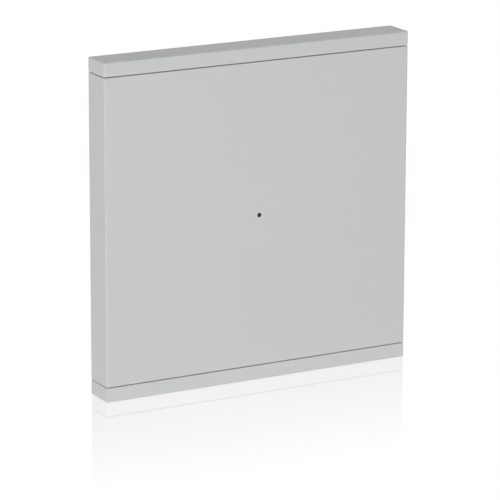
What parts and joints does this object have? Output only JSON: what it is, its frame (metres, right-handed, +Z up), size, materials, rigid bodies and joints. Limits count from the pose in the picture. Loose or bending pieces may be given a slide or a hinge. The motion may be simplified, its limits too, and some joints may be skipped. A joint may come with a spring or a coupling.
{
  "type": "pushbutton switch",
  "caption": "Flat square pushbutton switch for a wall, with a face-wide button between narrow rails, a pinhole light, and a screw-on plate behind.",
  "frame": {"origin": "centre of the mounting plate's wall face", "axes": "+Z up, +Y into the wall, +X to the right seen from the front; the button faces -Y"},
  "size_m": [0.08, 0.0095, 0.08],
  "materials": {
    "housing": "fine satin texture, light grey",
    "plate": "plain matte, light grey",
    "pin": "smoked clear plastic",
    "board": "green solder mask",
    "steel": "nickel-plated sheet and wire",
    "copper": "tinned contact strip",
    "chip": "black moulding compound",
    "plunger": "black moulded plastic",
    "ceramic": "fired ceramic, tan",
    "led": "clear resin over white base",
    "rubber": "soft silicone"
  },
  "bodies": {
    "base": {"base_frame": "housing", "mounting_plate": "plate", "circuit_board": "board", "coin_cell": "steel", "battery_plus_contact": "copper", "battery_minus_contact": "copper", "status_led": "led", "radio_shield": "steel", "radio_chip": "chip", "crystal": "steel", "chip_antenna": "ceramic", "capacitors": "ceramic", "switch_terminals": "copper", "board_screws": "steel", "switch_base_upper_left": "chip", "switch_dome_upper_left": "steel", "switch_cover_upper_left": "steel", "return_spring_upper_left": "steel", "rubber_stop_upper_left": "rubber", "switch_base_upper_right": "chip", "switch_dome_upper_right": "steel", "switch_cover_upper_right": "steel", "return_spring_upper_right": "steel", "rubber_stop_upper_right": "rubber", "switch_base_lower_left": "chip", "switch_dome_lower_left": "steel", "switch_cover_lower_left": "steel", "return_spring_lower_left": "steel", "rubber_stop_lower_left": "rubber", "switch_base_lower_right": "chip", "switch_dome_lower_right": "steel", "switch_cover_lower_right": "steel", "return_spring_lower_right": "steel", "rubber_stop_lower_right": "rubber"},
    "button": {"button": "housing", "light_guide": "pin"},
    "plunger_upper_left": {"switch_plunger_upper_left": "plunger"},
    "plunger_upper_right": {"switch_plunger_upper_right": "plunger"},
    "plunger_lower_left": {"switch_plunger_lower_left": "plunger"},
    "plunger_lower_right": {"switch_plunger_lower_right": "plunger"}
  },
  "joints": [
    {"name": "button_press", "type": "slide", "parent": "base", "child": "button", "axis": [0, 1, 0], "range_m": [0, 0.0005], "stiffness_N_per_m": 4000, "springref_m": -0.0002, "deforming": ["return_spring_upper_left", "return_spring_upper_right", "return_spring_lower_left", "return_spring_lower_right"]},
    {"name": "plunger_press_upper_left", "type": "slide", "parent": "base", "child": "plunger_upper_left", "axis": [0, 1, 0], "range_m": [0, 0.0005], "deforming": ["switch_dome_upper_left"]},
    {"name": "plunger_press_upper_right", "type": "slide", "parent": "base", "child": "plunger_upper_right", "axis": [0, 1, 0], "range_m": [0, 0.0005], "deforming": ["switch_dome_upper_right"]},
    {"name": "plunger_press_lower_left", "type": "slide", "parent": "base", "child": "plunger_lower_left", "axis": [0, 1, 0], "range_m": [0, 0.0005], "deforming": ["switch_dome_lower_left"]},
    {"name": "plunger_press_lower_right", "type": "slide", "parent": "base", "child": "plunger_lower_right", "axis": [0, 1, 0], "range_m": [0, 0.0005], "deforming": ["switch_dome_lower_right"]}
  ],
  "couplings": [
    {"joint": "plunger_press_upper_left", "follows": "button_press", "ratio": 1},
    {"joint": "plunger_press_upper_right", "follows": "button_press", "ratio": 1},
    {"joint": "plunger_press_lower_left", "follows": "button_press", "ratio": 1},
    {"joint": "plunger_press_lower_right", "follows": "button_press", "ratio": 1}
  ]
}
